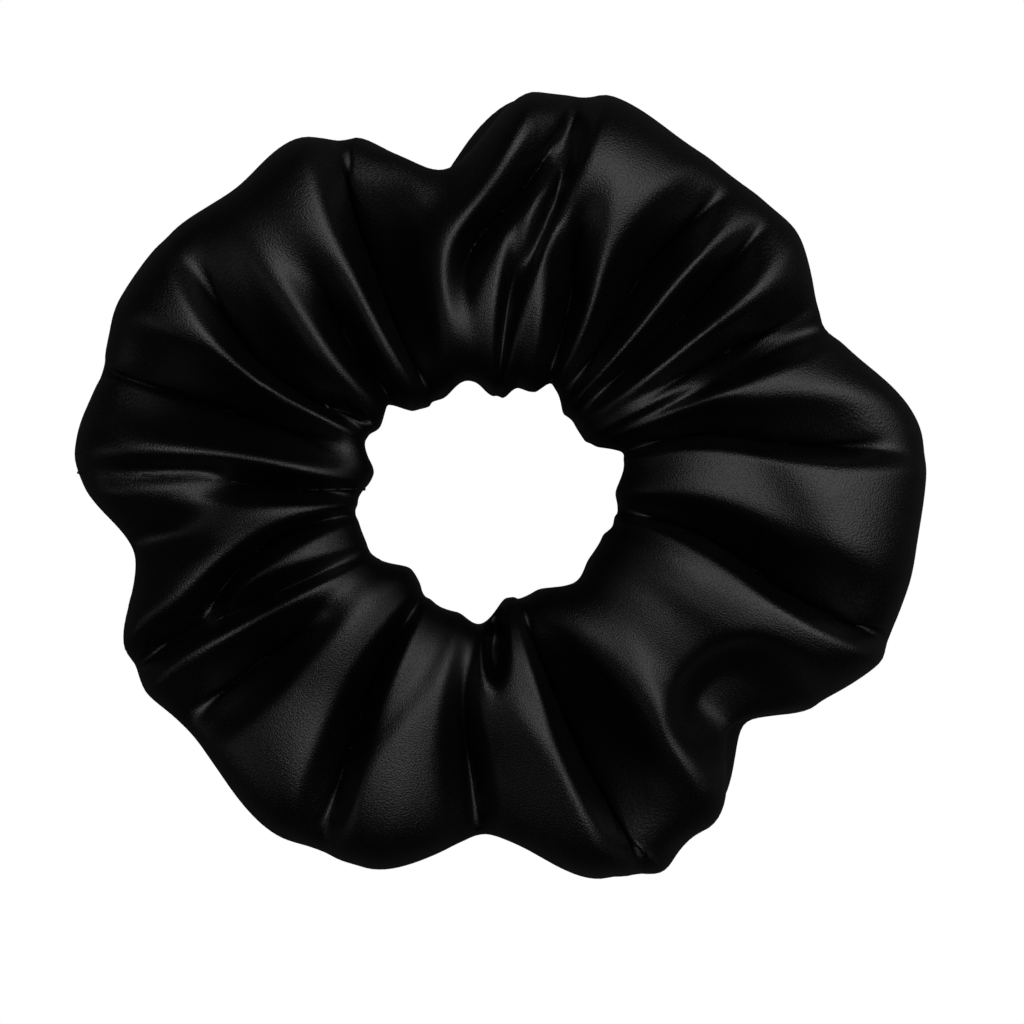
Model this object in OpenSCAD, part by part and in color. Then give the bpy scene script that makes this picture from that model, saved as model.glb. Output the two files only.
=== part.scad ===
// Gathered satin scrunchie, lying flat: the ring's axis is Z, its lowest face is at z = 0,
// and X is the way that it is pulled open. Millimetres.
// The cover and what runs all the way round it are in two halves, left (x < 0) and right
// (x > 0), because the two halves move apart when the ring is stretched.
// The folds of the gathered cloth are held as the thick wall of a plain hollow ring.

/* [Gathered ring] */
// Diameter of the hair hole
hole_d = 35; // [28:1:50]
// Width of the gathered tube, from the hair hole to the outer edge
tube_w = 38.5; // [31:0.5:55]
// Height of the gathered tube
tube_h = 34; // [27:0.5:42]
// Height of the straight wall that faces the hair hole
grip_h = 8; // [5:0.5:12]
// Depth of the folds, from their crests to the hollow inside
fold_depth = 9; // [6:0.5:10]

/* [Cloth] */
// Thickness of one layer of satin
cloth_t = 0.35; // [0.2:0.05:0.6]
// Width of the turned-in edges along the long seam
seam_allowance = 6; // [4:0.5:7]
// Height of the long seam's stitches above the hollow's floor
seam_line_h = 1.5; // [1.2:0.1:2.5]

/* [Elastic] */
// Width of the flat elastic
elastic_w = 6; // [4:0.5:7]
// Thickness of the flat elastic
elastic_t = 1.0; // [0.6:0.1:1.5]
// Length over which the two ends of the elastic lie on each other
elastic_lap = 14; // [12:1:20]

/* [Thread] */
// Thickness of the sewing thread
thread_d = 0.4; // [0.3:0.05:0.6]
// Length of the zigzag that joins the ends of the elastic
join_len = 9; // [8:1:11]
// Height of the zigzag
join_h = 3.6; // [2.5:0.1:3.6]
// Zigzag stitches across the join
join_stitches = 9; // [5:2:9]

/* [Fit] */
// Gap between pieces that lie beside each other
clearance = 0.15; // [0.1:0.05:0.3]
// Gap between the two halves of the ring
half_gap = 0.4; // [0.3:0.1:1]

/* [Hidden] */
$fn = 96;

hole_r = hole_d / 2;
outer_r = hole_r + tube_w;
mid_r = hole_r + tube_w / 2;
mid_z = tube_h / 2;
corner_r = (tube_h - grip_h) / 2;

hollow_floor = fold_depth;

thread_r = thread_d / 2;
// How far a thread's middle lies from the wall beside it, and the room that one thread takes
thread_off = thread_r + clearance;
thread_room = thread_d + 2 * clearance;

// The elastic lies on the hole side of the hollow. Two threads pass between it and the wall.
elastic_r = hole_r + fold_depth + 2 * thread_room;
// The second end of the elastic climbs over the first at the lap, on an off-centre circle
lap_r = elastic_r + elastic_t + clearance;
lap_mid_r = (lap_r + elastic_r * elastic_r / lap_r) / 2;
lap_shift = lap_r - lap_mid_r;
lap_angle = elastic_lap / elastic_r * 180 / PI;

fin_t = 2 * cloth_t;
big = 2 * outer_r;

// Rounded outline of the tube's section, drawn in by d on every side
module tube_outline(d = 0) {
    w = tube_w - 2 * d;
    h = tube_h - 2 * d;
    r = corner_r - d;
    translate([mid_r, mid_z]) {
        square([w - 2 * r, h], center = true);
        square([w, h - 2 * r], center = true);
        for (x = [-1, 1], y = [-1, 1])
            translate([x * (w / 2 - r), y * (h / 2 - r)])
                circle(r);
    }
}

// Keeps only the left (side = -1) or the right (side = 1) half of what it is given
module half(side) {
    intersection() {
        children();
        translate([side * (big / 2 + half_gap / 2), 0, mid_z])
            cube([big, 2 * big, 2 * tube_h], center = true);
    }
}

// Puts a drawing of the tube's section upright, across the tube at the left end of the ring
module at_closing_seam() {
    rotate([90, 0, 180])
        children();
}

// One closed turn of thread round the tube's section, drawn in by d
module thread_turn(d, r) {
    w = tube_w - 2 * d;
    h = tube_h - 2 * d;
    bend = corner_r - d;
    at_closing_seam()
        translate([mid_r, mid_z])
            for (x = [-1, 1], y = [-1, 1]) {
                translate([x * (w / 2 - bend), y * (h / 2 - bend), 0])
                    rotate([0, 0, x > 0 ? (y > 0 ? 0 : 270) : (y > 0 ? 90 : 180)])
                        rotate_extrude(angle = 90)
                            translate([bend, 0])
                                circle(r, $fn = 24);
                if (y > 0)
                    translate([x * w / 2, 0, 0])
                        rotate([90, 0, 0])
                            cylinder(h = h - 2 * bend, r = r, center = true, $fn = 24);
                if (x > 0)
                    translate([0, y * h / 2, 0])
                        rotate([0, 90, 0])
                            cylinder(h = w - 2 * bend, r = r, center = true, $fn = 24);
            }
}

// The hollow ring of gathered satin, with its turned-in edges standing up inside
module cover_ring() {
    rotate_extrude() {
        difference() {
            tube_outline();
            tube_outline(fold_depth);
        }
        translate([mid_r - fin_t / 2, hollow_floor - 1])
            square([fin_t, seam_allowance + 1]);
    }
}

module cover_left() {
    color("#161617")
        difference() {
            half(-1)
                cover_ring();
            // Channel round the outside for the closing seam
            at_closing_seam()
                translate([0, 0, -thread_room / 2])
                    linear_extrude(thread_room)
                        difference() {
                            tube_outline(-1);
                            tube_outline(thread_room);
                        }
            // Way through the turned-in edges for the closing seam's inner thread
            translate([-mid_r, 0, hollow_floor + thread_off])
                cube([3 * fin_t, thread_room, thread_room], center = true);
        }
}

module cover_right() {
    color("#161617")
        half(1)
            cover_ring();
}

// A flat band on edge, in an arc of a given inner radius
module band(r, from, angle) {
    rotate([0, 0, from])
        rotate_extrude(angle = angle)
            translate([r, mid_z - elastic_w / 2])
                square([elastic_t, elastic_w]);
}

module elastic_left() {
    color("#2b2b2e")
        half(-1) {
            band(elastic_r, 80, 100 + lap_angle / 2);
            // The second end lies over the first, away from the hair hole
            translate([-lap_shift, 0, 0])
                band(lap_mid_r, 180 - lap_angle / 2, 100 + lap_angle / 2);
        }
}

module elastic_right() {
    color("#2b2b2e")
        half(1)
            band(elastic_r, -100, 200);
}

// A zigzag of stitches on the face of the elastic at radius r. At each corner the thread dives
// into the elastic, so the stitches stop short of each other.
module zigzag(r) {
    run = join_len / join_stitches;
    lean = atan2(run, join_h);
    trim = (thread_d + clearance) / (2 * sin(lean));
    for (i = [0 : join_stitches - 1]) {
        a = 180 + (i - (join_stitches - 1) / 2) * run / r * 180 / PI;
        rotate([0, 0, a])
            translate([r, 0, mid_z])
                rotate([(i % 2 == 0 ? 1 : -1) * lean, 0, 0])
                    cylinder(h = join_h / cos(lean) - 2 * trim, r = thread_r,
                        center = true, $fn = 24);
    }
}

module elastic_join_needle_thread() {
    color("#3a3a3d")
        zigzag(lap_r + elastic_t + thread_off);
}

module elastic_join_bobbin_thread() {
    color("#3a3a3d")
        zigzag(elastic_r - thread_off);
}

// A ring of thread along the long seam, on the side of the turned-in edges that faces
// the hair hole (side = -1) or away from it (side = 1)
module seam_ring(side) {
    rotate_extrude()
        translate([mid_r + side * (fin_t / 2 + thread_off), hollow_floor + seam_line_h])
            circle(thread_r, $fn = 24);
}

module long_seam_needle_thread_left() {
    color("#3a3a3d")
        half(-1)
            seam_ring(-1);
}

module long_seam_needle_thread_right() {
    color("#3a3a3d")
        half(1)
            seam_ring(-1);
}

module long_seam_bobbin_thread_left() {
    color("#3a3a3d")
        half(-1)
            seam_ring(1);
}

module long_seam_bobbin_thread_right() {
    color("#3a3a3d")
        half(1)
            seam_ring(1);
}

module closing_seam_needle_thread() {
    color("#3a3a3d")
        thread_turn(thread_off, thread_r);
}

module closing_seam_bobbin_thread() {
    color("#3a3a3d")
        thread_turn(fold_depth + thread_off, thread_r);
}

cover_left();
cover_right();
elastic_left();
elastic_right();
elastic_join_needle_thread();
elastic_join_bobbin_thread();
long_seam_needle_thread_left();
long_seam_needle_thread_right();
long_seam_bobbin_thread_left();
long_seam_bobbin_thread_right();
closing_seam_needle_thread();
closing_seam_bobbin_thread();
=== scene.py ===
import math

import bpy
import numpy as np
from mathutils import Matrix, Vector


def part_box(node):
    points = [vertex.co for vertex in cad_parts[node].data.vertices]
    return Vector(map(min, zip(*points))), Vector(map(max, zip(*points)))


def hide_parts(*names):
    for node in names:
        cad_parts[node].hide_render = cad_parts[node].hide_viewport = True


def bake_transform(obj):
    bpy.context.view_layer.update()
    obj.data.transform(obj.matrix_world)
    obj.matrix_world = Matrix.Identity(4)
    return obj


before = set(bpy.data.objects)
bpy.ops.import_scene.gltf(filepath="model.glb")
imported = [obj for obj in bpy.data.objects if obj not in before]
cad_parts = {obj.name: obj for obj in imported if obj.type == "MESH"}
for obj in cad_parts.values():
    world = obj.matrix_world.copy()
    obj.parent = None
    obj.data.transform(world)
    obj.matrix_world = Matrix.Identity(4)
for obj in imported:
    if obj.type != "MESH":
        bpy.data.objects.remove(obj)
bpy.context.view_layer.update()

# --- Satin cover ---------------------------------------------------------------------------
# One strip of black polyester satin, sewn into a tube and gathered on the elastic. Its length
# is far more than the ring's, so it stands in folds that run round the tube.

TUBE_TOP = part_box("cover_left")[1].z * 1000    # mm, height of the gathered tube
RING_R = 37.0                            # mm, middle of the tube from the middle of the hole
RING_OVAL = 0.94                         # width across Y as a share of the width across X
FLATTEN = 0.86                           # height of a fold as a share of its depth sideways
SQUARE = (3.3, 2.5)                      # above 2 the tube is squarer than round: top, underside
TWIST = 9.0                              # degrees, how far the lobes wander on the underside
UNDER, BESIDE = 0.4, 0.4                 # share of a fold's depth left underneath and outside
SHOULDER = 1.5                           # mm, how much fuller the outer shoulder is
DEEPER = 1.2                             # how much deeper the folds are on top than listed
INWARD = 0.35                            # share of a fold that also pushes the tube in or out
CREST_WIDER, VALLEY_WIDER = 1.6, 1.12    # how much wider crests and valleys are than listed
PLUMP = 2.6                              # above 2 a fold is flatter on top and steeper beside
SHUT_FROM, SHUT_AT = 1.5, 6.5            # mm, depths where a valley starts to close and is closed
NECK = 0.25                              # degrees, half the gap left where a deep valley closes
LIP = 0.6                                # share of the half-width where the closing cloth is
CREASE = 0.3                             # how much deeper the valley is under its neck
NARROW = 6                               # how narrow the crease and the lip are
STEEP = 2.5                              # how steep the rim of a hollow is
EVEN, FADE = 20, 8                       # degrees round the tube that lobes and folds change over
RESTING = 1.5                            # mm, height below which the cloth flattens on the table
CLOTH_T = 0.00035                        # m, thickness of the satin
AROUND, ACROSS = 408, 116                # mesh steps round the ring and round the tube

# The lobes: how far the cloth stands from the tube's middle, in mm, at angles round the ring.
# Each point is the top of a lobe or the bottom of the notch beside it.
OUTER_LOBES = ((8, 23.2), (28.5, 13), (46, 19.6), (60, 20.3), (76, 24.2), (84, 22.3), (98, 5.5),
               (110, 18.8), (118, 21.3), (128, 19.3), (139, 21.6), (150, 21.4), (163, 20.2), (174, 20),
               (191, 9), (206, 17.4), (222, 15.5), (240, 20), (252, 19), (270, 8.6), (286, 20),
               (293, 23.7), (301, 19.6), (314, 8), (326, 16.5), (339, 21.8), (352, 21.4))
HOLE_LOBES = ((0, 20.5), (17, 17.8), (33, 22.8), (50, 22.2), (63.5, 18.8), (69, 21.4), (77, 21.2),
              (85, 23.7), (102, 19.6), (116, 22.3), (131, 21.2), (138, 17), (147, 18.3), (155, 16.8),
              (169, 20.7), (186, 17.7), (207, 18), (224, 22.3), (247, 19.4), (254, 19.5), (264, 17.8),
              (278, 22.9), (293, 23.2), (314, 20.3), (326, 21.3), (339, 21.1), (346, 19.9))
TOP_R = 18.0                             # mm, the plain tube's radius on top and underneath

# Places round the tube where a fold's line is given, in degrees: just above the outer edge (8),
# up the outer shoulder (44, 65), the top (90), the inner shoulder (115), down into the hole
# (139, 172), underneath (270) and the outer side below the widest line (330)
PLACES = (8, 44, 65, 90, 115, 139, 172, 270, 330)

# Each fold: its angle round the ring at the second to the sixth of these places, how far it
# stands above the plain tube there in mm (less than 0 in a valley), and its half-width before
# and after its line, in degrees. A short half-width is a fold that lies over the next one.
FOLDS = (
    ((15, 22, 25.5, 27, 29), (0.5, 1, 1.5, 1, 0), (5.1, 2.6)),
    ((-14, -5, 17, 24, 24), (0, 1, 1, 0, 0), (4.8, 4.8)),
    ((7, 9, 12, 18.5, 20), (-2, -7, -9, -10, -2.5), (1.6, 4.6)),
    ((-14, -8, -1, 3, 4), (1, 0.5, 1, 1, 0), (6.4, 6.4)),
    ((31, 32.5, 33.5, 34, 34), (-1.5, -6, -11, -2, 0), (2.6, 2.6)),
    ((28, 28.3, 28.3, 28.5, 30), (-2, -3.5, -3.5, -3, -0.5), (1.4, 1.4)),
    ((44, 40.3, 38.2, 37, 36), (1, 1.5, 1.5, 1, 0), (2.9, 2.9)),
    ((47, 45.7, 45, 45, 46), (-2.5, -7.5, -11, -9, -1), (2.5, 2.3)),
    ((47, 51, 51.8, 50, 51), (1, 1.5, 2, 1.5, 0.5), (2.6, 3.2)),
    ((54, 56.5, 58.3, 56, 55.5), (-2.5, -8, -12, -10.5, -1.5), (2.8, 3.2)),
    ((64, 64, 65, 61.5, 59), (1, 1.5, 1.5, 1.5, 0.5), (3.5, 6.4)),
    ((74, 74, 73, 69, 66), (0, 0, -6, -11.5, -3), (2.6, 2.9)),
    ((74, 75.5, 78, 76, 72), (0.5, 1, 1, 1.5, 0.5), (4, 3.5)),
    ((77.5, 78, 80, 83.5, 85), (-3.5, -5.5, -3, -2, -0.5), (1.1, 1.4)),
    ((79, 83, 94, 99, 100), (-4.5, -7, -7, 0, 0), (2.2, 2.2)),
    ((82.5, 88.5, 100, 105.5, 100), (1, 1.5, 2, 1.5, 0.5), (2.6, 3.5)),
    ((80, 80, 85.5, 94.5, 98), (0, 0, 1, 1.5, 1), (4.5, 5.6)),
    ((84, 84, 84, 85.5, 87), (0, 0, 0, -5.5, -2), (1.4, 1.4)),
    ((112, 115, 115.5, 117.5, 120), (-5, -10, -13.5, -13.5, -3.5), (6, 1.8)),
    ((118, 119.5, 119, 120.5, 127), (1, 1, 1.5, 1.5, 0.5), (2.6, 3.5)),
    ((124, 126, 127, 128, 128), (1, 1, 0.5, 0, 0), (5.6, 5.6)),
    ((127, 128, 132.5, 141, 146), (0, 0.5, 1.5, 2, 1), (3.5, 2.9)),
    ((128, 128, 127.5, 131, 134), (0, 0, -2.5, -11.5, -3.5), (2.6, 2.6)),
    ((139, 144, 149, 150, 150.5), (-1.5, -6, -11, -10, -1.5), (5, 1.6)),
    ((150, 149, 150.5, 152, 155), (1, 1, 1, 1.5, 1), (4, 2.4)),
    ((161, 161, 161, 161, 162), (-7, -11.5, -13.5, -8, 2), (4.3, 4.1)),
    ((174, 172.8, 170.8, 170.3, 176), (1, 1.5, 2, 1.5, 0.5), (2.7, 2.2)),
    ((176.5, 175.5, 173.5, 173, 174), (-1.5, -3, -2, 0, 0), (1.5, 1.5)),
    ((177, 177, 177, 177, 179), (0, 0, -1, -10, -1.5), (2.3, 2.3)),
    ((182, 182, 182, 183.5, 182), (0, 0, 0.5, 1, 0.5), (2.4, 2.4)),
    ((187, 187, 187, 187, 187), (-2, -3.5, 0, 0, 0), (3.1, 3.1)),
    ((206, 200, 191.5, 187, 183.7), (1, 1.5, 2, 1.5, 1), (3.8, 2.7)),
    ((207, 204, 198, 191, 187), (-4.5, -7, -9, -10, -1.5), (1.7, 2)),
    ((203, 203, 203, 199.5, 197), (0, 0, 0, 1, 1), (4.8, 4.8)),
    ((205.5, 206, 205.5, 205.5, 206), (-1.5, -5, -8, -4.5, -1), (2.6, 1.3)),
    ((208, 208.6, 207.8, 207.2, 209), (1, 1.5, 1.5, 1.5, 0.5), (2.1, 3)),
    ((213, 213, 213, 213, 213), (0, 0, 0, 1, 1), (4.8, 4.8)),
    ((218, 217.5, 217, 217, 217), (-2, -8, -11, 0, 0), (3.2, 3.2)),
    ((233, 231, 227.5, 223.5, 221), (1, 1, 1.5, 1.5, 0.5), (3.8, 4.2)),
    ((245, 243, 241, 238, 237), (-2.5, -7, -11.5, -10, -2.5), (2.4, 1.8)),
    ((250, 247.5, 250.5, 256, 258), (1, 1.5, 1.5, 1, 0), (2.4, 5.6)),
    ((247, 246.5, 246.5, 241, 240), (0, 0, 1, 1, 0.5), (1.9, 4)),
    ((268, 267, 265, 262, 262), (-2.5, -4.5, -5.5, -3.5, 0), (2.8, 2.2)),
    ((286, 282.3, 280.5, 269, 264), (1, 1, 1.5, 1.5, 0.5), (4.8, 3.2)),
    ((286, 286, 285, 281, 277), (0, 0, 0.5, 1, 0.5), (3.2, 2.2)),
    ((287, 285.6, 285, 284.3, 280), (1, 1, 1.5, 1, 0), (4.8, 1.9)),
    ((291, 289, 287.5, 287, 284), (-6, -12.5, -16, -15, -3.5), (1.5, 7.5)),
    ((292, 289, 287.5, 287, 287), (0.5, 1, 0, 0, 0), (1.9, 1.9)),
    ((308, 305.5, 306, 309, 314), (1.5, 2.5, 2, 0, 0), (3.2, 2.2)),
    ((322, 322, 322, 325, 328), (0, 0, 1, 1, 0.5), (9.6, 11)),
    ((336, 333, 331, 334, 338), (1, 1.5, 1, 1, 0), (3.2, 4.8)),
    ((330, 330, 330, 331, 335), (0, 0, 0, 1, 0.5), (9.6, 9.6)),
    ((337.5, 337.5, 338.5, 343.5, 351), (0.5, 0.5, 1, 1, 0.5), (4.8, 2.1)),
    ((339, 340, 343, 349, 353), (-6, -9, -12.5, -12.5, -2.5), (1.5, 4.8)),
)

# Small hollows where a fold is tucked in: angle round the ring, angle round the tube, depth
# in mm, and half-width round the ring, outward and towards the hole
HOLLOWS = (
    (146.3, 131, 6, 2, 7, 7),
    (271.5, 134, 9, 3.4, 12, 12),
    (34, 78, 2, 2.5, 12, 12),
    (318, 70, 8.5, 9.5, 60, 17),
)


def round_the_tube(values, places, phi, soft=10.0):
    """Values given at places round the tube, at every phi in degrees, smoothed round the loop."""
    fine = np.arange(720) / 2.0
    at = np.interp(fine, places, values, period=360)
    kernel = np.exp(-0.5 * (np.minimum(fine, 360 - fine) / soft) ** 2)
    smooth = np.real(np.fft.ifft(np.fft.fft(at) * np.fft.fft(kernel / kernel.sum())))
    return np.interp(phi, fine, smooth, period=360)


def lobes(points, theta):
    """The lobes' height at every theta in degrees, level at each given point."""
    at = np.array([p[0] for p in points] + [points[0][0] + 360.0])
    height = np.array([p[1] for p in points] + [points[0][1]])
    theta = at[0] + (theta - at[0]) % 360
    i = np.clip(np.searchsorted(at, theta, side="right") - 1, 0, len(at) - 2)
    t = (theta - at[i]) / (at[i + 1] - at[i])
    return height[i] + (height[i + 1] - height[i]) * t * t * (3 - 2 * t)


def tube_and_folds(theta, phi):
    """The lobed tube's size, how far the folds stand off it, and how far valleys close over.


    The first two are in mm, and the last in degrees round the ring, as the angles are."""
    quarters = (0, 90, 180, 270)
    below = np.clip(-np.sin(np.radians(phi)), 0, 1)
    turned = theta + TWIST * np.sin(np.radians(2 * theta + 60)) * below
    tube = lobes(OUTER_LOBES, turned) * round_the_tube((1, 0, 0, 0), quarters, phi, EVEN)
    tube += lobes(HOLE_LOBES, turned) * round_the_tube((0, 0, 1, 0), quarters, phi, EVEN)
    tube += TOP_R * round_the_tube((0, 1, 0, 1), quarters, phi, EVEN)
    flat, high = np.abs(np.cos(np.radians(phi))), np.abs(np.sin(np.radians(phi)))
    square = SQUARE[0] + (SQUARE[1] - SQUARE[0]) * np.minimum(1, 2 * below)
    tube /= (flat ** square + high ** square) ** (1 / square)
    tube += SHOULDER * round_the_tube((0, 1, 0, 1.7, 0, 0), (0, 45, 90, 135, 170, 270), phi, FADE)
    folds, closing = np.zeros_like(tube), np.zeros_like(tube)
    for angles, heights, sides in FOLDS:
        deep = max(heights, key=abs)
        drift = angles[0] + (angles[0] - angles[1])
        line = round_the_tube((angles[0],) + angles + (angles[4], (drift + angles[4]) / 2, drift),
                              PLACES, phi)
        height = round_the_tube((heights[0] / 4,) + heights
                                + (heights[4] / 4, deep * UNDER, deep * BESIDE), PLACES, phi, FADE)
        t = (theta - line + 180) % 360 - 180
        wider = CREST_WIDER if deep > 0 else VALLEY_WIDER
        side = np.where(t < 0, sides[0], sides[1]) * (1 + below / 2) * wider
        t /= side
        shut = np.clip(-(height + SHUT_FROM) / (SHUT_AT - SHUT_FROM), 0, 1)
        folds += height * (np.exp(-0.5 * np.abs(t) ** PLUMP) + CREASE * shut * np.exp(-NARROW * t * t))
        closing -= t * np.maximum(side - NECK, 0) * shut * np.exp(-NARROW * (np.abs(t) - LIP) ** 2)
    for angle, place, depth, along, outward, up in HOLLOWS:
        t, u = (theta - angle + 180) % 360 - 180, (phi - place + 90) % 360 - 90
        u /= np.where(u < 0, outward, up)
        folds -= depth * np.exp(-0.5 * ((t / along) ** 2 + u * u) ** STEEP)
    return tube, folds, closing


def cover_points(around, across):
    """The folded tube as a grid of points in metres, rows round the tube, columns round the ring."""
    theta, phi = np.meshgrid(np.arange(around) * 360 / around, np.arange(across) * 360 / across)
    tube, folds, closing = tube_and_folds(theta, phi)
    theta, phi = np.radians(theta + closing), np.radians(phi)
    inward = INWARD + (1 - INWARD) * np.clip(-2 * np.sin(phi), 0, 1)
    r = RING_R + (tube + inward * folds) * np.cos(phi)
    z = TUBE_TOP / 2 + FLATTEN * (tube + DEEPER * folds) * np.sin(phi)
    z = np.where(z < RESTING, RESTING * np.exp(z / RESTING - 1), z)
    return np.stack([r * np.cos(theta), RING_OVAL * r * np.sin(theta), z], -1) / 1000


def grid_mesh(name, points):
    """A closed mesh from a grid of points that joins up on itself both ways."""
    rows, cols = points.shape[:2]
    index = np.arange(rows * cols).reshape(rows, cols)
    a, b = index, np.roll(index, -1, 1)
    c, d = np.roll(b, -1, 0), np.roll(a, -1, 0)
    faces = np.stack([a, b, c, d], -1).reshape(-1, 4)
    mesh = bpy.data.meshes.new(name)
    mesh.from_pydata(points.reshape(-1, 3).tolist(), [], faces.tolist())
    mesh.shade_smooth()
    obj = bpy.data.objects.new(name, mesh)
    bpy.context.scene.collection.objects.link(obj)
    return obj


def add_group(name, inputs, outputs, kind="ShaderNodeTree"):
    """An empty node group with named sockets: (name, type, default) in, (name, type) out."""
    tree = bpy.data.node_groups.new(name, kind)
    for label, sort, value in inputs:
        socket = tree.interface.new_socket(label, in_out="INPUT", socket_type=sort)
        if value is not None:
            socket.default_value = value
    for label, sort in outputs:
        tree.interface.new_socket(label, in_out="OUTPUT", socket_type=sort)
    return tree, tree.nodes.new("NodeGroupInput"), tree.nodes.new("NodeGroupOutput")


def fine_grain():
    """Shared by the satin, the elastic and the thread: yarns seen as a fine, drawn-out grain."""
    tree, given, out = add_group(
        "fine_grain",
        (("Coordinates", "NodeSocketVector", None), ("Yarn length", "NodeSocketFloat", 0.0006),
         ("Yarn width", "NodeSocketFloat", 0.0002), ("Colour", "NodeSocketColor", (0.01, 0.01, 0.01, 1)),
         ("Roughness", "NodeSocketFloat", 0.5), ("Colour change", "NodeSocketFloat", 0.3),
         ("Roughness change", "NodeSocketFloat", 0.08)),
        (("Colour", "NodeSocketColor"), ("Roughness", "NodeSocketFloat"), ("Height", "NodeSocketFloat")))
    nodes, links = tree.nodes, tree.links

    def math_node(what, first, second):
        node = nodes.new("ShaderNodeMath")
        node.operation = what
        for socket, value in zip(node.inputs, (first, second)):
            if isinstance(value, (int, float)):
                socket.default_value = value
            else:
                links.new(value, socket)
        return node.outputs[0]

    along = math_node("DIVIDE", 1.0, given.outputs["Yarn length"])
    across = math_node("DIVIDE", 1.0, given.outputs["Yarn width"])
    size = nodes.new("ShaderNodeCombineXYZ")
    links.new(along, size.inputs[0])
    links.new(across, size.inputs[1])
    links.new(across, size.inputs[2])
    place = nodes.new("ShaderNodeVectorMath")
    place.operation = "MULTIPLY"
    links.new(given.outputs["Coordinates"], place.inputs[0])
    links.new(size.outputs[0], place.inputs[1])
    yarns = nodes.new("ShaderNodeTexNoise")
    yarns.inputs["Scale"].default_value = 1.0
    yarns.inputs["Detail"].default_value = 2.0
    links.new(place.outputs[0], yarns.inputs["Vector"])
    patches = nodes.new("ShaderNodeTexNoise")
    patches.inputs["Scale"].default_value = 90.0
    patches.inputs["Detail"].default_value = 1.0
    links.new(given.outputs["Coordinates"], patches.inputs["Vector"])
    change = math_node("MULTIPLY", math_node("SUBTRACT", yarns.outputs["Fac"], 0.5),
                       given.outputs["Colour change"])
    shade = nodes.new("ShaderNodeVectorMath")
    shade.operation = "SCALE"
    links.new(given.outputs["Colour"], shade.inputs[0])
    links.new(math_node("ADD", math_node("MULTIPLY", change, 2.0), 1.0), shade.inputs["Scale"])
    links.new(shade.outputs[0], out.inputs["Colour"])
    uneven = math_node("ADD", math_node("SUBTRACT", yarns.outputs["Fac"], 0.5),
                       math_node("MULTIPLY", math_node("SUBTRACT", patches.outputs["Fac"], 0.5), 0.5))
    change = math_node("MULTIPLY", uneven, given.outputs["Roughness change"])
    links.new(math_node("ADD", given.outputs["Roughness"], change), out.inputs["Roughness"])
    links.new(yarns.outputs["Fac"], out.inputs["Height"])
    return tree


def grainy(name, coordinates, colour, roughness, yarn, change, bump, sheen=(0.0, 0.5), specular=0.5):
    """A cloth or thread material: the fine grain drives its colour, roughness and bump."""
    material = bpy.data.materials.new(name)
    material.use_nodes = True
    nodes, links = material.node_tree.nodes, material.node_tree.links
    shader = nodes["Principled BSDF"]
    where = nodes.new("ShaderNodeTexCoord")
    grain = nodes.new("ShaderNodeGroup")
    grain.node_tree = bpy.data.node_groups.get("fine_grain") or fine_grain()
    links.new(where.outputs[coordinates], grain.inputs["Coordinates"])
    grain.inputs["Yarn length"].default_value, grain.inputs["Yarn width"].default_value = yarn
    grain.inputs["Colour"].default_value = (*colour, 1)
    grain.inputs["Roughness"].default_value = roughness
    grain.inputs["Colour change"].default_value, grain.inputs["Roughness change"].default_value = change
    links.new(grain.outputs["Colour"], shader.inputs["Base Color"])
    links.new(grain.outputs["Roughness"], shader.inputs["Roughness"])
    dents = nodes.new("ShaderNodeBump")
    dents.inputs["Strength"].default_value = bump[0]
    dents.inputs["Distance"].default_value = bump[1]
    links.new(grain.outputs["Height"], dents.inputs["Height"])
    links.new(dents.outputs["Normal"], shader.inputs["Normal"])
    shader.inputs["Sheen Weight"].default_value, shader.inputs["Sheen Roughness"].default_value = sheen
    shader.inputs["Specular IOR Level"].default_value = specular
    return material


# The map on the cloth is in metres of the flat strip: 0.32 m along, a length chosen to suit the
# folds modelled here, and 0.128 m across
STRIP = (0.32, 0.128)
black_satin = grainy("black_satin", "UV", (0.0003, 0.0003, 0.00033), 0.41, (0.0003, 0.00024),
                     (0.5, 0.30), (0.9, 0.0001))

satin = cover_points(AROUND, ACROSS)
cover = grid_mesh("satin_cover", satin)
strip_map = cover.data.uv_layers.new(name="strip")
corner_u, corner_v = np.meshgrid(np.arange(AROUND), np.arange(ACROSS))
quads = np.stack([np.stack([corner_u + du, corner_v + dv], -1)
                  for du, dv in ((0, 0), (1, 0), (1, 1), (0, 1))], 2)
flat_map = quads * np.array([STRIP[0] / AROUND, STRIP[1] / ACROSS])
strip_map.data.foreach_set("uv", flat_map.astype(np.float32).ravel())
cover.data.materials.append(black_satin)
wall = cover.modifiers.new("cloth_thickness", "SOLIDIFY")
wall.thickness = CLOTH_T
wall.offset = -1
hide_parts("cover_left", "cover_right")


def bends(piece):
    """Bakes the piece's transform into its mesh, so it sits unparented at its place."""
    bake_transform(piece)


bends(cover)

# --- Long seam -----------------------------------------------------------------------------
# The strip's two long edges, sewn together face to face with a lockstitch before the tube is
# turned out. The edges stand inside the tube along its underside, with the needle thread on
# one side of them and the bobbin thread on the other.

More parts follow.
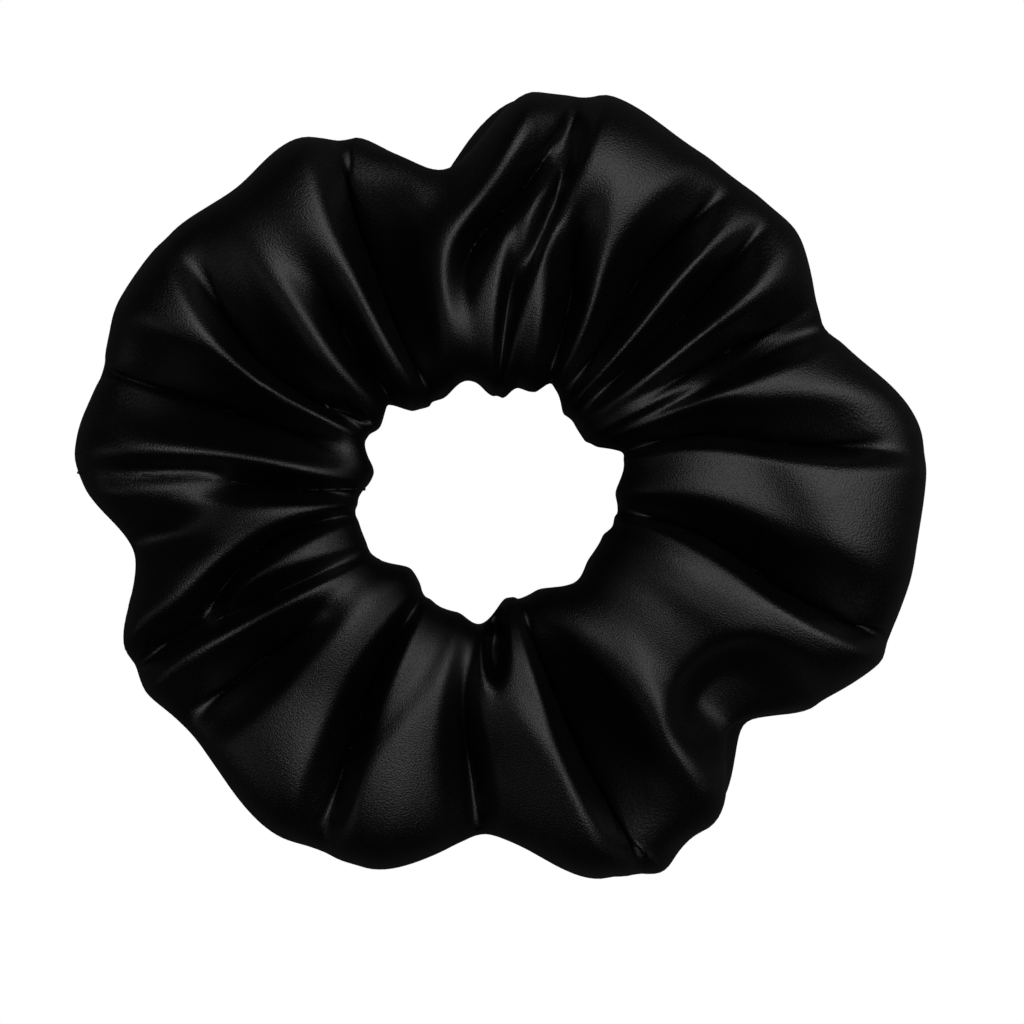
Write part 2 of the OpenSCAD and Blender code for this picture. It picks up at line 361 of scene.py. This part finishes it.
SEAM_EDGE = 0.006                        # m, cloth between the stitches and the cut edge
STITCH_UP = 0.0016                       # m, stitches above the cloth they close
STITCH, STITCH_GAP = 0.0025, 0.0004      # m, length of one stitch and the gap to the next
THREAD_D = 0.0004                        # m
EDGE_LIFT = 0.00005                      # m, gap between the turned-in edges and the cloth below
EDGE_GAP, EDGE_SPREAD = 0.00004, 0.0009  # m, gap between the edges at the stitches, and above
EDGE_WAVE, EDGE_WAVES = 0.0002, 31       # m, how far the cut edge waves, and waves in the ring
EDGE_ROWS = 6                            # mesh rows from the stitches to the cut edge
inside = satin[ACROSS * 3 // 4] + (0, 0, CLOTH_T + EDGE_LIFT)
outwards = inside * (1, 1, 0) / np.linalg.norm(inside[:, :2], axis=1)[:, None]


def strip_mesh(name, rows):
    """A band of cloth from rows of points, each row a closed line round the ring."""
    points = np.stack(rows)
    count, cols = points.shape[:2]
    index = np.arange(count * cols).reshape(count, cols)
    a, b = index[:-1], np.roll(index, -1, 1)[:-1]
    c, d = np.roll(index, -1, 1)[1:], index[1:]
    mesh = bpy.data.meshes.new(name)
    faces = np.stack([a, b, c, d], -1).reshape(-1, 4)
    mesh.from_pydata(points.reshape(-1, 3).tolist(), [], faces.tolist())
    mesh.shade_smooth()
    obj = bpy.data.objects.new(name, mesh)
    bpy.context.scene.collection.objects.link(obj)
    return obj


for name, side in (("seam_edge_hole_side", -1), ("seam_edge_outer_side", 1)):
    rows = []
    for up in np.linspace(0, 1, EDGE_ROWS):
        apart = EDGE_GAP + EDGE_SPREAD * max(0.0, up - 0.3) ** 1.5
        turn = np.arange(AROUND // 2) * 2 * math.pi * EDGE_WAVES / (AROUND // 2)
        wave = EDGE_WAVE * up * np.sin(turn + side)
        out = outwards[::2] * (side * (apart + CLOTH_T / 2) + wave)[:, None]
        rows.append(inside[::2] + out + (0, 0, up * SEAM_EDGE))
    edge = strip_mesh(name, rows if side > 0 else rows[::-1])
    edge.data.materials.append(black_satin)
    map_uv = edge.data.uv_layers.new(name="strip")
    for loop in edge.data.loops:
        row, col = divmod(loop.vertex_index, AROUND // 2)
        map_uv.data[loop.index].uv = (col * STRIP[0] * 2 / AROUND, row * SEAM_EDGE / (EDGE_ROWS - 1))
    wall = edge.modifiers.new("cloth_thickness", "SOLIDIFY")
    wall.thickness = CLOTH_T
    wall.offset = 0
    bends(edge)


def thread_stitches():
    """Geometry Nodes: one rounded stitch of thread along each edge it is given."""
    tree, given, out = add_group(
        "thread_stitches",
        (("Geometry", "NodeSocketGeometry", None), ("Thread thickness", "NodeSocketFloat", THREAD_D),
         ("Material", "NodeSocketMaterial", None)),
        (("Geometry", "NodeSocketGeometry"),), "GeometryNodeTree")
    nodes, links = tree.nodes, tree.links
    ends = nodes.new("GeometryNodeInputMeshEdgeVertices")
    along = nodes.new("ShaderNodeVectorMath")
    along.operation = "SUBTRACT"
    links.new(ends.outputs["Position 2"], along.inputs[0])
    links.new(ends.outputs["Position 1"], along.inputs[1])
    length = nodes.new("ShaderNodeVectorMath")
    length.operation = "LENGTH"
    links.new(along.outputs[0], length.inputs[0])
    keep = nodes.new("GeometryNodeCaptureAttribute")
    keep.domain = "EDGE"
    keep.capture_items.new("VECTOR", "Direction")
    keep.capture_items.new("FLOAT", "Length")
    links.new(given.outputs["Geometry"], keep.inputs["Geometry"])
    links.new(along.outputs[0], keep.inputs["Direction"])
    links.new(length.outputs["Value"], keep.inputs["Length"])
    centres = nodes.new("GeometryNodeMeshToPoints")
    centres.mode = "EDGES"
    links.new(keep.outputs["Geometry"], centres.inputs["Mesh"])
    turn = nodes.new("FunctionNodeAlignRotationToVector")
    turn.axis = "X"
    links.new(keep.outputs["Direction"], turn.inputs["Vector"])
    size = nodes.new("ShaderNodeCombineXYZ")
    links.new(keep.outputs["Length"], size.inputs["X"])
    links.new(given.outputs["Thread thickness"], size.inputs["Y"])
    links.new(given.outputs["Thread thickness"], size.inputs["Z"])
    bead = nodes.new("GeometryNodeMeshUVSphere")
    bead.inputs["Segments"].default_value = 8
    bead.inputs["Rings"].default_value = 8
    bead.inputs["Radius"].default_value = 0.5
    lie = nodes.new("GeometryNodeTransform")
    lie.inputs["Rotation"].default_value = (0, math.pi / 2, 0)
    links.new(bead.outputs["Mesh"], lie.inputs["Geometry"])
    put = nodes.new("GeometryNodeInstanceOnPoints")
    links.new(centres.outputs["Points"], put.inputs["Points"])
    links.new(lie.outputs["Geometry"], put.inputs["Instance"])
    links.new(turn.outputs["Rotation"], put.inputs["Rotation"])
    links.new(size.outputs[0], put.inputs["Scale"])
    real = nodes.new("GeometryNodeRealizeInstances")
    smooth = nodes.new("GeometryNodeSetShadeSmooth")
    paint = nodes.new("GeometryNodeSetMaterial")
    links.new(put.outputs["Instances"], real.inputs["Geometry"])
    links.new(real.outputs["Geometry"], smooth.inputs["Geometry"])
    links.new(smooth.outputs["Geometry"], paint.inputs["Geometry"])
    links.new(given.outputs["Material"], paint.inputs["Material"])
    links.new(paint.outputs["Geometry"], out.inputs["Geometry"])
    return tree


def grown(name, points, edges, tree, values):
    """The plain mesh that a Geometry Nodes tree makes from points and edges."""
    mesh = bpy.data.meshes.new(name + "_path")
    mesh.from_pydata([tuple(p) for p in points], edges, [])
    path = bpy.data.objects.new(name + "_path", mesh)
    bpy.context.scene.collection.objects.link(path)
    mod = path.modifiers.new("grow", "NODES")
    mod.node_group = tree
    for item in tree.interface.items_tree:
        if item.in_out == "INPUT" and item.name in values:
            mod[item.identifier] = values[item.name]
    bpy.context.view_layer.update()
    result = bpy.data.meshes.new_from_object(path.evaluated_get(bpy.context.evaluated_depsgraph_get()))
    bpy.data.objects.remove(path)
    result.name = name
    obj = bpy.data.objects.new(name, result)
    bpy.context.scene.collection.objects.link(obj)
    return obj


def along_line(line, pitch, gap, closed):
    """Start and end of each stitch along a line of points, and the edges that join them."""
    if closed:
        line = np.vstack([line, line[:1]])
    steps = np.linalg.norm(np.diff(line, axis=0), axis=1)
    far = np.concatenate([[0], np.cumsum(steps)])
    count = max(1, round(far[-1] / pitch))
    pitch = far[-1] / count
    at = np.ravel([(k * pitch + gap / 2, (k + 1) * pitch - gap / 2) for k in range(count)])
    points = np.stack([np.interp(at, far, line[:, i]) for i in range(3)], -1)
    return points, [(2 * k, 2 * k + 1) for k in range(count)]


black_thread = grainy("black_thread", "Object", (0.001, 0.001, 0.0011), 0.6, (0.0003, 0.0001),
                      (0.5, 0.2), (0.6, 0.00005))
stitches = thread_stitches()
for name, side, nodes_stood_for in (
        ("long_seam_needle_thread", -1, ("long_seam_needle_thread_left", "long_seam_needle_thread_right")),
        ("long_seam_bobbin_thread", 1, ("long_seam_bobbin_thread_left", "long_seam_bobbin_thread_right"))):
    line = inside + outwards * side * (CLOTH_T + THREAD_D * 0.4) + (0, 0, STITCH_UP)
    seam = grown(name, *along_line(line, STITCH, STITCH_GAP, True), stitches,
                 {"Thread thickness": THREAD_D, "Material": black_thread})
    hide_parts(*nodes_stood_for)
    bends(seam)

# --- Elastic -------------------------------------------------------------------------------
# A flat braided elastic, black polyester yarns over rubber threads, cut to length, run through
# the tube and closed in a loop with its ends lapped. It gathers the satin and lies at the
# hole side of the tube.

elastic_lo, elastic_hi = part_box("elastic_right")
ELASTIC_W = elastic_hi.z - elastic_lo.z  # m, and so are the next four
ELASTIC_T = 0.0010
ELASTIC_R = elastic_hi.x - ELASTIC_T / 2       # middle of the elastic's thickness
LAP, LAP_GAP = 0.014, 0.00015                  # length of the lap and the gap between its ends
ELASTIC_WAVE = 0.0003                          # how far the band rises and falls round the ring
YARN_PITCH, YARNS_WIDE = 0.0014, 5             # m, and yarns across the band
STEP_OUT, STEP_LONG = 25, 22                   # degrees: the end steps out this far before the
                                               # lap, over this long a stretch
half_lap = math.degrees(LAP / 2 / ELASTIC_R)
sweep = np.radians(np.arange(180 - half_lap, 540 + half_lap + 0.5, 1.0))
rise = np.clip((np.degrees(sweep) - (540 - half_lap - STEP_OUT)) / STEP_LONG, 0, 1)
reach = ELASTIC_R + (ELASTIC_T + LAP_GAP) * rise * rise * (3 - 2 * rise)
height = (elastic_lo.z + elastic_hi.z) / 2 + ELASTIC_WAVE * np.sin(3 * sweep)
elastic_line = np.stack([reach * np.cos(sweep), reach * np.sin(sweep), height], -1)


def flat_braid():
    """Geometry Nodes: rows of slanting yarns along a line of points, with no band beneath them."""
    tree, given, out = add_group(
        "flat_braid",
        (("Geometry", "NodeSocketGeometry", None), ("Width", "NodeSocketFloat", 0.006),
         ("Thickness", "NodeSocketFloat", 0.001), ("Yarn pitch", "NodeSocketFloat", 0.0014),
         ("Yarns wide", "NodeSocketInt", 5), ("Material", "NodeSocketMaterial", None)),
        (("Geometry", "NodeSocketGeometry"),), "GeometryNodeTree")
    nodes, links = tree.nodes, tree.links

    def value(what, *terms):
        node = nodes.new("ShaderNodeMath")
        node.operation = what
        for socket, term in zip(node.inputs, terms):
            if isinstance(term, (int, float)):
                socket.default_value = term
            else:
                links.new(term, socket)
        return node.outputs[0]

    def vector(*terms):
        node = nodes.new("ShaderNodeCombineXYZ")
        for socket, term in zip(node.inputs, terms):
            if isinstance(term, (int, float)):
                socket.default_value = term
            else:
                links.new(term, socket)
        return node.outputs[0]

    yarn_w = value("DIVIDE", given.outputs["Width"], given.outputs["Yarns wide"])
    line = nodes.new("GeometryNodeMeshToCurve")
    links.new(given.outputs["Geometry"], line.inputs["Mesh"])
    rows = nodes.new("GeometryNodeResampleCurve")
    rows.mode = "LENGTH"
    links.new(line.outputs["Curve"], rows.inputs["Curve"])
    links.new(given.outputs["Yarn pitch"], rows.inputs["Length"])
    tangent = nodes.new("GeometryNodeInputTangent")
    turn = nodes.new("FunctionNodeAlignRotationToVector")
    turn.axis = "X"
    turn.pivot_axis = "Z"
    links.new(tangent.outputs[0], turn.inputs["Vector"])
    column = nodes.new("GeometryNodeMeshLine")
    links.new(given.outputs["Yarns wide"], column.inputs["Count"])
    first = value("MULTIPLY", value("SUBTRACT", given.outputs["Width"], yarn_w), -0.5)
    links.new(vector(0, 0, first), column.inputs["Start Location"])
    links.new(vector(0, 0, yarn_w), column.inputs["Offset"])
    bead = nodes.new("GeometryNodeMeshUVSphere")
    bead.inputs["Segments"].default_value = 8
    bead.inputs["Rings"].default_value = 6
    bead.inputs["Radius"].default_value = 0.5
    index = nodes.new("GeometryNodeInputIndex")
    odd = value("MODULO", index.outputs[0], 2)
    slant = value("MULTIPLY", value("SUBTRACT", odd, 0.5), math.radians(70))
    row = nodes.new("GeometryNodeInstanceOnPoints")
    links.new(column.outputs["Mesh"], row.inputs["Points"])
    links.new(bead.outputs["Mesh"], row.inputs["Instance"])
    links.new(vector(0, slant, 0), row.inputs["Rotation"])
    links.new(vector(value("MULTIPLY", given.outputs["Yarn pitch"], 1.35), given.outputs["Thickness"],
                     value("MULTIPLY", yarn_w, 0.95)), row.inputs["Scale"])
    put = nodes.new("GeometryNodeInstanceOnPoints")
    links.new(rows.outputs["Curve"], put.inputs["Points"])
    links.new(row.outputs["Instances"], put.inputs["Instance"])
    links.new(turn.outputs["Rotation"], put.inputs["Rotation"])
    real = nodes.new("GeometryNodeRealizeInstances")
    links.new(put.outputs["Instances"], real.inputs["Geometry"])
    smooth = nodes.new("GeometryNodeSetShadeSmooth")
    links.new(real.outputs["Geometry"], smooth.inputs["Geometry"])
    paint = nodes.new("GeometryNodeSetMaterial")
    links.new(smooth.outputs["Geometry"], paint.inputs["Geometry"])
    links.new(given.outputs["Material"], paint.inputs["Material"])
    links.new(paint.outputs["Geometry"], out.inputs["Geometry"])
    return tree


black_elastic = grainy("black_elastic", "Object", (0.004, 0.004, 0.0044), 0.75, (0.0005, 0.0002),
                       (0.6, 0.2), (0.7, 0.00006), sheen=(0.1, 0.5), specular=0.3)
elastic = grown("braided_elastic", elastic_line, [(k, k + 1) for k in range(len(elastic_line) - 1)],
                flat_braid(),
                {"Width": ELASTIC_W, "Thickness": ELASTIC_T, "Yarn pitch": YARN_PITCH,
                 "Yarns wide": YARNS_WIDE, "Material": black_elastic})
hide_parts("elastic_left", "elastic_right")
bends(elastic)

# --- Elastic join --------------------------------------------------------------------------
# A machine zigzag through the lapped ends of the elastic: the needle thread lies on the outer
# face and the bobbin thread on the face towards the hole.

JOIN_LEN, JOIN_H, JOIN_STITCHES = 0.009, 0.0036, 9     # m, m and stitches in the zigzag
THREAD_UP = THREAD_D * 0.3               # m, middle of a thread above the face it lies on
for name, r in (("elastic_join_needle_thread", ELASTIC_R + ELASTIC_T * 1.5 + LAP_GAP + THREAD_UP),
                ("elastic_join_bobbin_thread", ELASTIC_R - ELASTIC_T * 0.5 - THREAD_UP)):
    points, edges = [], []
    for k in range(JOIN_STITCHES):
        for end in (k, k + 1):
            angle = math.pi + (end / JOIN_STITCHES - 0.5) * JOIN_LEN / ELASTIC_R
            z = (elastic_lo.z + elastic_hi.z) / 2 + (JOIN_H / 2 if end % 2 else -JOIN_H / 2)
            points.append((r * math.cos(angle), r * math.sin(angle), z))
        edges.append((2 * k, 2 * k + 1))
    join = grown(name, points, edges, stitches, {"Thread thickness": THREAD_D, "Material": black_thread})
    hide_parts(name)
    bends(join)

# --- Closing seam --------------------------------------------------------------------------
# The tube's raw ends are turned in and edge-stitched together all the way round the tube once
# the elastic is joined. The needle thread lies outside on the satin, the bobbin thread inside.

SEAM_AT = 176.5                          # degrees round the ring
PULLED_IN = THREAD_D * 0.1               # m, middle of the needle thread above the satin
SEAM_COLUMN = round(AROUND * SEAM_AT / 360)
seam_line = satin[:, SEAM_COLUMN]
ring_way = satin[:, SEAM_COLUMN + 1] - satin[:, SEAM_COLUMN - 1]
tube_way = np.roll(satin, -1, 0)[:, SEAM_COLUMN] - np.roll(satin, 1, 0)[:, SEAM_COLUMN]
facing = np.cross(ring_way, tube_way)
facing /= np.linalg.norm(facing, axis=1)[:, None]
for name, off in (("closing_seam_needle_thread", PULLED_IN),
                  ("closing_seam_bobbin_thread", -CLOTH_T - THREAD_UP)):
    seam = grown(name, *along_line(seam_line + facing * off, STITCH, STITCH_GAP, True), stitches,
                 {"Thread thickness": THREAD_D, "Material": black_thread})
    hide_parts(name)
    bends(seam)

# --- Floor, light and camera ---------------------------------------------------------------
# A pale floor and a pale room that the camera sees as plain white, but that throw little light
# on the satin, so its valleys stay black. The light is one large softbox and two weaker ones.


def lit_for_the_camera_only(tree, plain, output):
    """White where the camera looks straight at it, and the plain shader for all other light."""
    white = tree.nodes.new("ShaderNodeEmission" if output == "Surface" else "ShaderNodeBackground")
    path = tree.nodes.new("ShaderNodeLightPath")
    mix = tree.nodes.new("ShaderNodeMixShader")
    tree.links.new(path.outputs["Is Camera Ray"], mix.inputs["Fac"])
    tree.links.new(plain.outputs[0], mix.inputs[1])
    tree.links.new(white.outputs[0], mix.inputs[2])
    end = next(n for n in tree.nodes if n.type.startswith("OUTPUT"))
    tree.links.new(mix.outputs[0], end.inputs["Surface"])
    white.inputs["Strength"].default_value = 1.0
    white.inputs["Color"].default_value = (1, 1, 1, 1)


FLOOR = 3                                # m, from its middle to each side
floor = bpy.data.objects.new("floor", bpy.data.meshes.new("floor"))
floor.data.from_pydata([(x * FLOOR, y * FLOOR, 0) for x, y in ((-1, -1), (1, -1), (1, 1), (-1, 1))],
                       [], [(0, 1, 2, 3)])
bpy.context.scene.collection.objects.link(floor)
floor_paint = bpy.data.materials.new("floor_paint")
floor_paint.use_nodes = True
plain = floor_paint.node_tree.nodes["Principled BSDF"]
plain.inputs["Base Color"].default_value = (0.06, 0.06, 0.06, 1)
plain.inputs["Roughness"].default_value = 0.9
lit_for_the_camera_only(floor_paint.node_tree, plain, "Surface")
floor.data.materials.append(floor_paint)

world = bpy.data.worlds.new("studio")
world.use_nodes = True
room = world.node_tree.nodes["Background"]
room.inputs["Color"].default_value = (1, 1, 1, 1)
room.inputs["Strength"].default_value = 0.004
lit_for_the_camera_only(world.node_tree, room, "World")
bpy.context.scene.world = world


def softbox(name, place, size, power):
    """A square lamp of this size in metres, aimed at the middle of the hole."""
    data = bpy.data.lights.new(name, "AREA")
    data.shape = "SQUARE"
    data.size = size
    data.energy = power
    lamp = bpy.data.objects.new(name, data)
    lamp.location = place
    lamp.rotation_mode = "QUATERNION"
    lamp.rotation_quaternion = (-Vector(place)).to_track_quat("-Z", "Y")
    lamp.visible_camera = False
    bpy.context.scene.collection.objects.link(lamp)


softbox("key_softbox", (0.22, 0.18, 0.78), 0.78, 4.15)
softbox("left_softbox", (-0.80, -0.25, 0.45), 0.35, 0.3)
softbox("right_softbox", (0.85, 0.35, 0.45), 0.35, 0.5)

camera = bpy.data.objects.new("camera", bpy.data.cameras.new("camera"))
camera.data.lens = 180
camera.data.sensor_width = 36
camera.location = (0.0027, -0.0021, 0.7185)
bpy.context.scene.collection.objects.link(camera)
bpy.context.scene.camera = camera
bpy.context.scene.view_settings.view_transform = "Standard"
